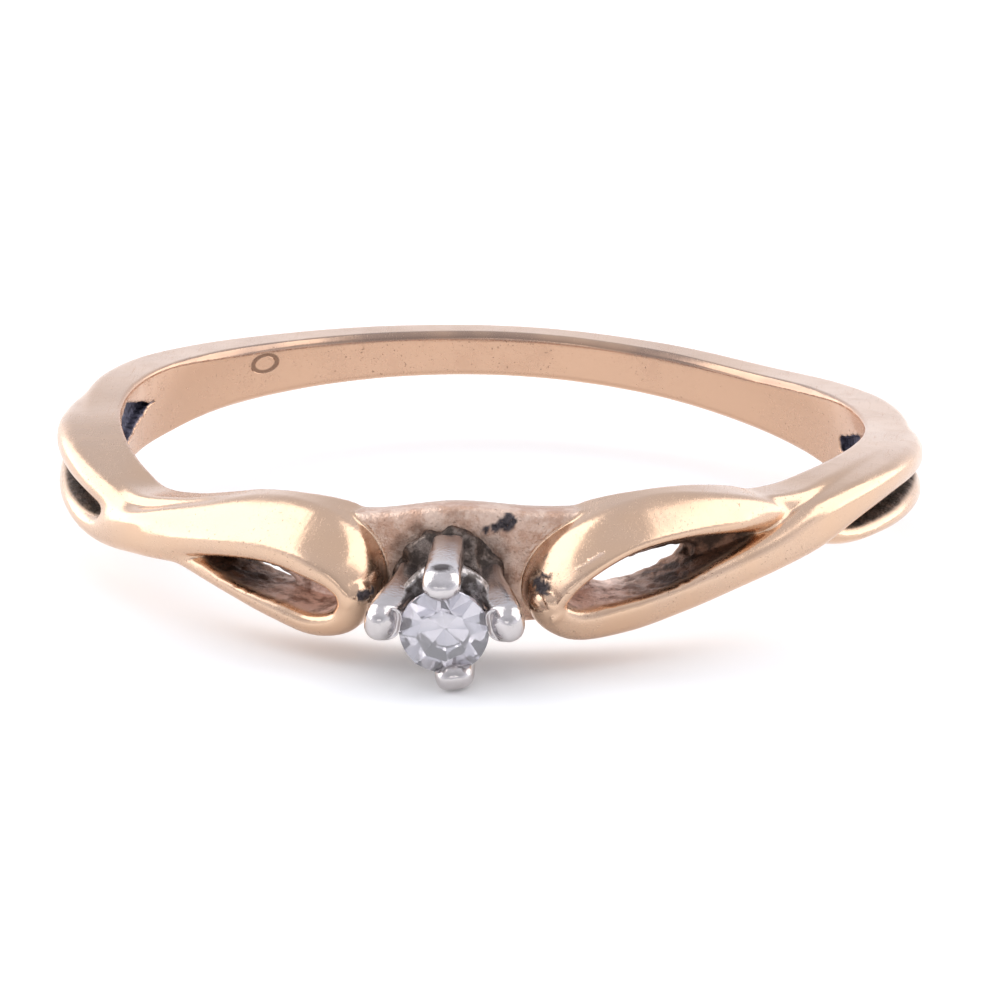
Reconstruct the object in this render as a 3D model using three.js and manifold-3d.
// Engagement ring: a twisted-shoulder gold shank with a four-prong head and one small diamond.
// Millimetres. The bore axis is Z, the origin is the middle of the bore, and the stone faces -Y.
// An angle around the ring is measured in degrees from the stone, and grows towards +X.

import * as THREE from 'three';
import { mergeVertices } from 'three/addons/utils/BufferGeometryUtils.js';
import Module from 'manifold-3d';

const wasm = await Module();
wasm.setup();

// ---- driving dimensions -------------------------------------------------------------------

const BORE_RADIUS = 8.45;
const BORE_SIDES = 144;
const GAP = 0.03; // clearance left between touching pieces

// The lining of the shank, all the way round: [angle, middle height, half height, outer radius].
const BAND_STATIONS = [
  [-180, 0.0, 0.54, 9.5],
  [-160, 0.03, 0.55, 9.53],
  [-140, 0.02, 0.62, 9.6],
  [-126, 0.03, 0.71, 9.68],
  [-112, 0.04, 0.82, 9.7],
  [-98, 0.04, 0.86, 9.62],
  [-84, -0.04, 0.84, 9.45],
  [-70, -0.16, 0.76, 9.3],
  [-60, -0.28, 0.64, 9.4],
  [-52, -0.3, 0.6, 9.55],
  [-44, -0.14, 0.62, 9.45],
  [-34, -0.02, 0.84, 9.3],
  [-22, -0.14, 1.02, 9.28],
  [-12, -0.18, 1.15, 9.28],
  [0, -0.02, 1.28, 9.28],
  [12, -0.06, 1.22, 9.28],
  [22, 0.02, 1.12, 9.28],
  [34, 0.24, 0.94, 9.3],
  [44, 0.36, 0.7, 9.45],
  [52, 0.4, 0.6, 9.55],
  [60, 0.4, 0.64, 9.4],
  [70, 0.26, 0.76, 9.3],
  [84, 0.02, 0.84, 9.45],
  [98, -0.14, 0.88, 9.62],
  [112, -0.3, 0.92, 9.7],
  [126, -0.34, 0.8, 9.68],
  [140, -0.32, 0.65, 9.6],
  [160, -0.14, 0.56, 9.53],
];

// Each shoulder is one strand that leaves the band, passes the crossing, turns round beside the
// head and comes back over itself: [angle from the stone, height, crown radius, half width].
const RIGHT_STRAND = [
  [112, -0.5, 9.42, 0.3],
  [100, -0.48, 9.6, 0.34],
  [90, -0.38, 9.78, 0.33],
  [80, -0.34, 9.85, 0.28],
  [70, -0.33, 9.85, 0.23],
  [60, -0.26, 9.72, 0.22],
  [52, 0.2, 9.5, 0.32],
  [45, 0.66, 9.68, 0.38],
  [38, 0.91, 10.0, 0.4],
  [30, 1.02, 10.28, 0.38],
  [22.4, 0.9, 10.6, 0.38],
  [16.8, 0.53, 10.9, 0.39],
  [13.2, 0.02, 11.0, 0.4],
  [12.15, -0.54, 10.9, 0.37],
  [15.2, -0.97, 10.7, 0.39],
  [22, -0.92, 10.45, 0.44],
  [30, -0.64, 10.25, 0.45],
  [38, -0.32, 10.1, 0.44],
  [45, -0.02, 10.08, 0.46],
  [52, 0.28, 10.05, 0.52],
  [60, 0.52, 10.0, 0.43],
  [70, 0.63, 9.95, 0.35],
  [80, 0.58, 9.9, 0.35],
  [90, 0.42, 9.8, 0.38],
  [100, 0.24, 9.6, 0.4],
  [112, 0.1, 9.42, 0.34],
];
const LEFT_STRAND = [
  [112, 0.46, 9.42, 0.3],
  [100, 0.44, 9.6, 0.34],
  [90, 0.42, 9.78, 0.36],
  [80, 0.42, 9.9, 0.36],
  [70, 0.3, 9.9, 0.33],
  [60, 0.1, 9.84, 0.3],
  [52, -0.2, 9.72, 0.33],
  [45, -0.44, 9.8, 0.3],
  [38, -0.56, 9.95, 0.27],
  [30, -0.82, 10.15, 0.27],
  [22, -1.1, 10.4, 0.29],
  [16, -1.26, 10.6, 0.29],
  [12, -1.0, 10.8, 0.31],
  [10.8, -0.44, 10.95, 0.34],
  [12.5, 0.08, 10.95, 0.48],
  [16, 0.38, 10.85, 0.57],
  [22, 0.5, 10.55, 0.58],
  [30, 0.36, 10.3, 0.57],
  [38, 0.03, 10.1, 0.54],
  [45, -0.24, 10.06, 0.5],
  [52, -0.54, 10.0, 0.42],
  [60, -0.77, 9.95, 0.29],
  [70, -0.72, 9.9, 0.27],
  [80, -0.6, 9.85, 0.28],
  [90, -0.44, 9.78, 0.36],
  [100, -0.36, 9.6, 0.38],
  [112, -0.3, 9.42, 0.34],
];
const STRAND_ROOT_RADIUS = 8.3; // the strands start inside the bore line and are bored out with it

// Eye: the opening through each loop. Hollow: the relief in the bore behind each shoulder.
const RIGHT_EYE = { angle: 26.5, z: -0.13, halfLength: 1.4, halfWidth: 0.35, slope: 12 };
const LEFT_EYE = { angle: -27.5, z: -0.58, halfLength: 1.05, halfWidth: 0.21, slope: -10 };
const RIGHT_HOLLOW = { angle: 97, z: -0.02, halfLength: 1.9, halfWidth: 0.42, slope: -3 };
const LEFT_HOLLOW = { angle: -97, z: 0.02, halfLength: 1.9, halfWidth: 0.42, slope: -3 };
const HOLLOW_RADIUS = 9.0;

const PALM_LAND = 9.44; // the back of the band is worn flat at this distance from the bore axis

// The head stands on the outside of the bridge, drooping a little and leaning towards +X.
const HEAD_BASE_RADIUS = 9.3;
const HEAD_BASE_HEIGHT = -0.4;
const HEAD_DROOP = 7;
const HEAD_LEAN = 3;
const SEAT_RADIUS = 1.36;

const PEG_RADIUS = 0.3;
const PEG_BOTTOM = -0.8;
const PEG_TOP = 0.45;
const CUP_RADIUS = 0.66;
const CUP_HEIGHT = 0.9;
const GALLERY_RADIUS = 1.04;
const GALLERY_BORE = 0.5;
const GALLERY_BOTTOM = 1.24;
const GALLERY_HEIGHT = 0.4;

const PRONG_WIDTH = 0.8;
const PRONG_DEPTH = 0.6; // of the shaft; the tips are thicker
// Middle line of a prong: [distance from the head's axis, height above the seat].
const PRONG_LINE = [
  [0.88, GAP],
  [0.93, 0.7],
  [1.02, 1.5],
  [1.12, 2.2],
  [1.15, 2.5],
  [1.09, 2.74],
  [0.92, 2.88],
];
// Bearing round the head's axis, how much further out the tip stands, and the tip's thickness.
const PRONGS = [
  { name: 'prong_right', angle: 11, splay: 0.2, tipDepth: 0.84 },
  { name: 'prong_top', angle: 93, splay: -0.05, tipDepth: 0.62 },
  { name: 'prong_left', angle: 171, splay: 0.2, tipDepth: 0.8 },
  { name: 'prong_bottom', angle: 283, splay: -0.16, tipDepth: 0.66 },
];

const STONE_RADIUS = 0.96;
const STONE_HEIGHT = 2.5; // of the girdle above the seat
const TABLE_RADIUS = 0.54;
const CROWN_HEIGHT = 0.27;
const GIRDLE_THICKNESS = 0.05;
const PAVILION_DEPTH = 0.8;
const STONE_SIDES = 16;

const SOLDER_RADIUS = 1.32;
const SOLDER_HEIGHT = 0.55;

// ---- helpers ------------------------------------------------------------------------------

const radians = THREE.MathUtils.degToRad;
const UP = new THREE.Vector3(0, 0, 1);

/** A point of the ring from its angle, its distance from the bore axis and its height. */
function ringPoint(angle, radius, height) {
  const a = radians(angle);
  return new THREE.Vector3(radius * Math.sin(a), -radius * Math.cos(a), height);
}

/** A closed body through rings of points; the ends are capped unless the rings close on themselves. */
function loft(rings, closed) {
  const sides = rings[0].length;
  const count = rings.length;
  const positions = rings.flat().flatMap((p) => p.toArray());
  const index = [];
  const spans = closed ? count : count - 1;
  for (let i = 0; i < spans; i++) {
    const next = (i + 1) % count;
    for (let j = 0; j < sides; j++) {
      const k = (j + 1) % sides;
      index.push(i * sides + j, next * sides + j, next * sides + k);
      index.push(i * sides + j, next * sides + k, i * sides + k);
    }
  }
  if (!closed) {
    for (const [ring, first] of [[0, true], [count - 1, false]]) {
      const centre = rings[ring].reduce((sum, p) => sum.add(p), new THREE.Vector3());
      const middle = positions.length / 3;
      positions.push(...centre.divideScalar(sides).toArray());
      for (let j = 0; j < sides; j++) {
        const a = ring * sides + j;
        const b = ring * sides + ((j + 1) % sides);
        index.push(...(first ? [middle, a, b] : [middle, b, a]));
      }
    }
  }
  const geometry = new THREE.BufferGeometry();
  geometry.setAttribute('position', new THREE.Float32BufferAttribute(positions, 3));
  geometry.setIndex(index);
  return geometry;
}

/** A geometry as a manifold solid, turned right side out. */
function solid(geometry, matrix) {
  const clean = geometry.clone();
  clean.deleteAttribute('normal');
  clean.deleteAttribute('uv');
  if (matrix) {
    clean.applyMatrix4(matrix);
  }
  const merged = mergeVertices(clean, 1e-4);
  const make = (triVerts) => new wasm.Manifold(new wasm.Mesh({
    numProp: 3,
    vertProperties: new Float32Array(merged.attributes.position.array),
    triVerts,
  }));
  const triangles = Array.from(merged.index.array);
  const kept = [];
  for (let i = 0; i < triangles.length; i += 3) {
    const [a, b, c] = triangles.slice(i, i + 3);
    if (a !== b && b !== c && c !== a) {
      kept.push(a, b, c);
    }
  }
  const body = make(new Uint32Array(kept));
  if (body.volume() > 0) {
    return body;
  }
  return make(new Uint32Array(kept).reverse());
}

/** The three.js geometry of a manifold solid. */
function geometryOf(body) {
  const mesh = body.getMesh();
  const geometry = new THREE.BufferGeometry();
  geometry.setAttribute('position', new THREE.BufferAttribute(new Float32Array(mesh.vertProperties), 3));
  geometry.setIndex(new THREE.BufferAttribute(new Uint32Array(mesh.triVerts), 1));
  geometry.computeVertexNormals();
  return geometry;
}

/** A cylinder along Z. */
function cylinderZ(radius, bottom, top, sides) {
  const geometry = new THREE.CylinderGeometry(radius, radius, top - bottom, sides);
  geometry.rotateX(Math.PI / 2);
  geometry.translate(0, 0, (top + bottom) / 2);
  return geometry;
}

/** A turned body about Z from [radius, height] points. */
function turned(points, sides) {
  const profile = points.map(([radius, height]) => new THREE.Vector2(radius, height));
  const geometry = new THREE.LatheGeometry(profile, sides);
  geometry.rotateX(Math.PI / 2);
  return geometry;
}

/** One coordinate of a power-law (superellipse) section. */
function shaped(value, power) {
  return Math.sign(value) * Math.abs(value) ** (2 / power);
}

// ---- shank --------------------------------------------------------------------------------

/** A closed table of stations as a smooth function of the angle. */
function bandStation(angle) {
  const count = BAND_STATIONS.length;
  let i = 0;
  while (i < count - 1 && BAND_STATIONS[i + 1][0] <= angle) {
    i++;
  }
  const at = (k) => {
    const turn = Math.floor(k / count);
    const station = BAND_STATIONS[k - turn * count];
    return [station[0] + 360 * turn, ...station.slice(1)];
  };
  const [before, from, to, after] = [at(i - 1), at(i), at(i + 1), at(i + 2)];
  const t = (angle - from[0]) / (to[0] - from[0]);
  const span = to[0] - from[0];
  return [1, 2, 3].map((k) => {
    const slopeFrom = ((to[k] - before[k]) / (to[0] - before[0])) * span;
    const slopeTo = ((after[k] - from[k]) / (after[0] - from[0])) * span;
    const hermite = (2 * t ** 3 - 3 * t ** 2 + 1) * from[k] + (t ** 3 - 2 * t ** 2 + t) * slopeFrom;
    return hermite + (3 * t ** 2 - 2 * t ** 3) * to[k] + (t ** 3 - t ** 2) * slopeTo;
  });
}

/** The lining band, with a crowned outside and a bore line that the drill finishes. */
function bandSolid() {
  const STEP = 4;
  const SECTION_SIDES = 14;
  const rings = [];
  for (let angle = -180; angle < 180; angle += STEP) {
    const [middle, half, outer] = bandStation(angle);
    const centre = (outer + STRAND_ROOT_RADIUS) / 2;
    const depth = (outer - STRAND_ROOT_RADIUS) / 2;
    const ring = [];
    for (let j = 0; j < SECTION_SIDES; j++) {
      const a = ((j + 0.5) / SECTION_SIDES) * 2 * Math.PI;
      const power = Math.cos(a) > 0 ? 3 : 8;
      const radius = centre + depth * shaped(Math.cos(a), power);
      ring.push(ringPoint(angle, radius, middle + half * shaped(Math.sin(a), power)));
    }
    rings.push(ring);
  }
  return solid(loft(rings, true));
}

/** One looped shoulder strand; side is 1 for +X and -1 for -X. */
function strandSolid(stations, side) {
  const STEPS_PER_STATION = 3;
  const SECTION_SIDES = 12;
  const path = stations.map(([angle, height]) => new THREE.Vector3((angle * side * Math.PI) / 18, height, 0));
  const sizes = stations.map(([, , crown, half]) => new THREE.Vector3(crown, half, 0));
  const pathCurve = new THREE.CatmullRomCurve3(path, false, 'centripetal');
  const sizeCurve = new THREE.CatmullRomCurve3(sizes, false, 'catmullrom', 0.5);
  const steps = (stations.length - 1) * STEPS_PER_STATION;
  const rings = [];
  for (let i = 0; i <= steps; i++) {
    const t = i / steps;
    const here = pathCurve.getPoint(t);
    const along = pathCurve.getTangent(t);
    const size = sizeCurve.getPoint(t);
    const angle = (here.x * 18) / Math.PI;
    const centre = (size.x + STRAND_ROOT_RADIUS) / 2;
    const depth = (size.x - STRAND_ROOT_RADIUS) / 2;
    const ring = [];
    for (let j = 0; j < SECTION_SIDES; j++) {
      const a = ((j + 0.5) / SECTION_SIDES) * 2 * Math.PI;
      const power = Math.cos(a) > 0 ? 2.6 : 8;
      const radius = centre + depth * shaped(Math.cos(a), power);
      const across = size.y * shaped(Math.sin(a), power);
      const turn = (-along.y * across * 18) / Math.PI;
      ring.push(ringPoint(angle + turn, radius, here.y + along.x * across));
    }
    rings.push(ring);
  }
  return solid(loft(rings, false));
}

/** A lens-shaped cutter that points along the radius, from one distance to another. */
function lensCutter({ angle, z, halfLength, halfWidth, slope }, from, to) {
  const lens = new THREE.Shape();
  lens.absellipse(0, 0, halfLength, halfWidth, 0, 2 * Math.PI, false, radians(slope));
  const geometry = new THREE.ExtrudeGeometry(lens, { depth: to - from, bevelEnabled: false, curveSegments: 10 });
  const out = ringPoint(angle, 1, 0);
  const around = new THREE.Vector3().crossVectors(UP, out);
  const matrix = new THREE.Matrix4().makeBasis(around, UP, out);
  matrix.setPosition(ringPoint(angle, from, z));
  return solid(geometry, matrix);
}

/** The whole casting: band and strands joined, then bored, pierced, hollowed and drilled. */
function shankSolid(headMatrix) {
  const drill = solid(cylinderZ(BORE_RADIUS, -4, 4, BORE_SIDES));
  const pegHole = solid(cylinderZ(PEG_RADIUS + GAP, -2, 1, 24), headMatrix);
  const seat = solid(cylinderZ(SEAT_RADIUS, -GAP, 3, 32), headMatrix);
  const worn = solid(new THREE.BoxGeometry(10, 2, 10).translate(0, PALM_LAND + 1, 0));
  let shank = bandSolid();
  shank = shank.add(strandSolid(RIGHT_STRAND, 1));
  shank = shank.add(strandSolid(LEFT_STRAND, -1));
  shank = shank.subtract(drill);
  for (const eye of [RIGHT_EYE, LEFT_EYE]) {
    shank = shank.subtract(lensCutter(eye, BORE_RADIUS - 1, BORE_RADIUS + 3));
  }
  for (const hollow of [RIGHT_HOLLOW, LEFT_HOLLOW]) {
    shank = shank.subtract(lensCutter(hollow, BORE_RADIUS - 1, HOLLOW_RADIUS));
  }
  shank = shank.subtract(pegHole).subtract(seat).subtract(worn);
  return shank;
}

// ---- head ---------------------------------------------------------------------------------

/** A prong with rounded corners and tip, on the +X side of the head's axis; grow thickens it. */
function prongSolid({ angle, splay, tipDepth }, grow) {
  const STEPS = 14;
  const SECTION_SIDES = 12;
  const CORNER_POWER = 3.2;
  const TIP_START = 0.86;
  const FULL_DEPTH_AT = 0.5; // part of the length at which the prong reaches the tip's thickness
  const line = PRONG_LINE.map(([distance, height]) => {
    const spread = distance + (splay * height) / STONE_HEIGHT;
    return new THREE.Vector3(spread, 0, height);
  });
  const curve = new THREE.CatmullRomCurve3(line, false, 'centripetal');
  const rings = [];
  for (let i = 0; i <= STEPS; i++) {
    const t = i / STEPS;
    const here = curve.getPoint(t);
    const along = curve.getTangent(t);
    const outward = new THREE.Vector3(along.z, 0, -along.x);
    const tip = Math.max(0, (t - TIP_START) / (1 - TIP_START));
    const taper = Math.sqrt(1 - (0.8 * tip) ** 2);
    const depth = PRONG_DEPTH + (tipDepth - PRONG_DEPTH) * Math.min(1, t / FULL_DEPTH_AT);
    const ring = [];
    for (let j = 0; j < SECTION_SIDES; j++) {
      const a = ((j + 0.5) / SECTION_SIDES) * 2 * Math.PI;
      const out = (depth / 2 + grow) * taper * shaped(Math.cos(a), CORNER_POWER);
      const across = (PRONG_WIDTH / 2 + grow) * taper * shaped(Math.sin(a), CORNER_POWER);
      ring.push(here.clone().addScaledVector(outward, out).add(new THREE.Vector3(0, across, 0)));
    }
    rings.push(ring);
  }
  return solid(loft(rings, false), new THREE.Matrix4().makeRotationZ(radians(angle)));
}

/** The stone: table, crown, girdle and pavilion, all with flat facets; grow thickens it. */
function stoneSolid(grow) {
  return solid(turned([
    [0, STONE_HEIGHT - PAVILION_DEPTH - grow],
    [STONE_RADIUS + grow, STONE_HEIGHT - GIRDLE_THICKNESS / 2 - grow],
    [STONE_RADIUS + grow, STONE_HEIGHT + GIRDLE_THICKNESS / 2 + grow],
    [TABLE_RADIUS + grow, STONE_HEIGHT + CROWN_HEIGHT + grow],
    [0, STONE_HEIGHT + CROWN_HEIGHT + grow],
  ], STONE_SIDES));
}

/** The cup that joins the feet of the prongs, open down the middle for the peg. */
function cupSolid() {
  const inner = PEG_RADIUS + GAP;
  return solid(turned([
    [inner, GAP],
    [CUP_RADIUS, GAP],
    [CUP_RADIUS, CUP_HEIGHT],
    [CUP_RADIUS - 0.12, CUP_HEIGHT],
    [inner, CUP_HEIGHT / 2],
    [inner, GAP],
  ], 32));
}

/** The gallery ring, whose upper inside edge slopes with the stone. */
function gallerySolid() {
  const top = GALLERY_BOTTOM + GALLERY_HEIGHT;
  return solid(turned([
    [GALLERY_BORE, GALLERY_BOTTOM],
    [GALLERY_RADIUS, GALLERY_BOTTOM],
    [GALLERY_RADIUS, top],
    [GALLERY_RADIUS - 0.1, top],
    [GALLERY_BORE, GALLERY_BOTTOM + GALLERY_HEIGHT / 2],
    [GALLERY_BORE, GALLERY_BOTTOM],
  ], 32));
}

/** The fillet of solder between the feet of the prongs and the bridge. */
function solderSolid() {
  return solid(turned([
    [CUP_RADIUS + GAP, GAP],
    [SOLDER_RADIUS, GAP],
    [SOLDER_RADIUS - 0.06, 0.12],
    [SOLDER_RADIUS - 0.24, 0.26],
    [CUP_RADIUS + GAP, SOLDER_HEIGHT],
    [CUP_RADIUS + GAP, GAP],
  ], 32));
}

// ---- assembly -----------------------------------------------------------------------------

const material = (color, roughness, metalness) => new THREE.MeshStandardMaterial({ color, roughness, metalness });
const GOLD = () => material(0xd9b48c, 0.22, 1);
const WHITE_GOLD = () => material(0xd4d0c8, 0.2, 1);
const SOLDER = () => material(0x8a857c, 0.5, 1);
const DIAMOND = () => material(0xdfe0f2, 0.02, 0);

function mesh(name, geometry, finish) {
  const piece = new THREE.Mesh(geometry, finish);
  piece.name = name;
  return piece;
}

const ring = new THREE.Group();
const head = new THREE.Group();
head.position.copy(ringPoint(0, HEAD_BASE_RADIUS, HEAD_BASE_HEIGHT));
head.rotation.set(radians(90 + HEAD_DROOP), 0, radians(HEAD_LEAN), 'ZYX');
head.updateMatrix();

const notches = wasm.Manifold.union(PRONGS.map((prong) => prongSolid(prong, GAP)));
const stoneNotch = stoneSolid(GAP);
head.add(mesh('head_peg', cylinderZ(PEG_RADIUS, PEG_BOTTOM, PEG_TOP, 24), WHITE_GOLD()));
head.add(mesh('head_cup', geometryOf(cupSolid().subtract(notches)), WHITE_GOLD()));
head.add(mesh('gallery_ring', geometryOf(gallerySolid().subtract(notches)), WHITE_GOLD()));
head.add(mesh('head_solder', geometryOf(solderSolid().subtract(notches)), SOLDER()));
head.add(mesh('diamond', geometryOf(stoneSolid(0)), DIAMOND()));
for (const prong of PRONGS) {
  head.add(mesh(prong.name, geometryOf(prongSolid(prong, 0).subtract(stoneNotch)), WHITE_GOLD()));
}

ring.add(mesh('shank', geometryOf(shankSolid(head.matrix)), GOLD()));
ring.add(head);

export default ring;
